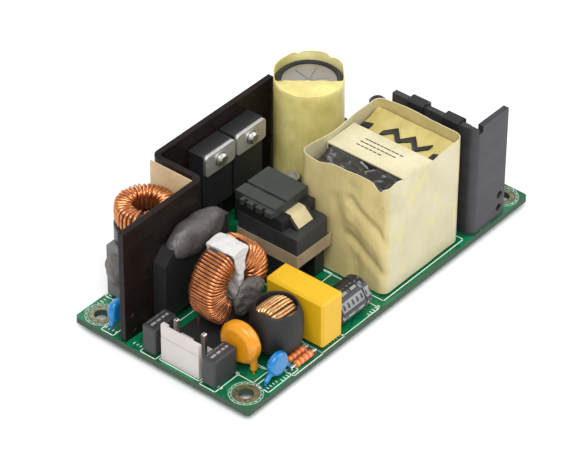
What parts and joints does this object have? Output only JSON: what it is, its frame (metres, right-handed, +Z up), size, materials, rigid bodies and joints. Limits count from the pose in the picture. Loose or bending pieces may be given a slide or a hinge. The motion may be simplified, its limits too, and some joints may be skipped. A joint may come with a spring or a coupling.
{
  "type": "open frame power supply",
  "caption": "Open frame AC to DC power supply on a long circuit board, with folded heatsinks, chokes, a taped transformer and pin headers at both ends.",
  "frame": {"origin": "centre of the pattern of mounting holes, on the underside of the circuit board", "axes": "+X along the board from the input header to the output header, +Y across it towards the edge with the tall rear heatsink panel, +Z up through the board"},
  "size_m": [0.1016, 0.0524, 0.0367],
  "materials": {
    "board": "satin solder mask with white print",
    "black_sheet": "black anodised, satin",
    "insulation": "tan insulating sheet",
    "nylon": "white nylon",
    "tinned": "tinned",
    "black_case": "moulded black",
    "varistor_coat": "dipped orange coating",
    "blue_coat": "dipped blue coating",
    "resistor_coat": "lacquer",
    "ferrite": "dark ferrite",
    "copper": "enamelled copper",
    "white_sleeve": "white separator",
    "adhesive": "grey silicone",
    "shrink": "black shrink sleeve",
    "yellow_case": "moulded yellow",
    "grey_case": "dark textured case",
    "steel": "plain steel",
    "cap_sleeve": "black sleeve with aluminium top",
    "tape": "pale yellow tape",
    "black_bobbin": "phenolic",
    "tan_tape": "tan tape",
    "clip_steel": "dark spring steel",
    "solder": "solder",
    "chip": "moulded black",
    "passive": "plain ceramic"
  },
  "bodies": {
    "root": {"circuit_board": "board", "primary_heatsink": "black_sheet", "insulation_sheet": "insulation", "input_header": "nylon", "input_pins": "tinned", "fuse_left": "black_case", "fuse_right": "black_case", "varistor": "varistor_coat", "safety_capacitor_front": "blue_coat", "safety_capacitor_rear": "blue_coat", "bleed_resistors": "resistor_coat", "choke_core": "ferrite", "choke_winding_fine": "copper", "choke_winding_heavy": "copper", "choke_separator": "white_sleeve", "choke_base": "black_case", "choke_adhesive": "adhesive", "filter_choke_core": "ferrite", "filter_choke_winding": "copper", "filter_choke_sleeve": "shrink", "choke_leads": "copper", "x_capacitor": "yellow_case", "bridge_rectifier": "black_case", "bridge_adhesive": "adhesive", "film_capacitor": "grey_case", "film_adhesive": "adhesive", "boost_choke_core": "ferrite", "boost_choke_winding": "copper", "boost_choke_cup": "black_case", "transistors": "black_case", "clamp_plates": "steel", "clamp_screws": "steel", "bulk_capacitor": "cap_sleeve", "bulk_collar": "tape", "inductor_core": "ferrite", "inductor_bobbin": "black_bobbin", "inductor_winding": "tan_tape", "inductor_tape": "tan_tape", "inductor_cover": "black_bobbin", "bypass_capacitor": "cap_sleeve", "bias_capacitor": "cap_sleeve", "transformer_core_upper": "ferrite", "transformer_core_lower": "ferrite", "transformer_bobbin": "black_bobbin", "transformer_winding": "tape", "transformer_pins": "tinned", "transformer_wrap": "tape", "transformer_strap": "tape", "secondary_heatsink": "black_sheet", "output_rectifiers": "black_case", "rectifier_clips": "clip_steel", "output_capacitors": "cap_sleeve", "output_choke": "ferrite", "output_header": "nylon", "output_pins": "tinned", "solder_joints": "solder", "surface_chips": "chip", "surface_passives": "passive"}
  },
  "joints": []
}
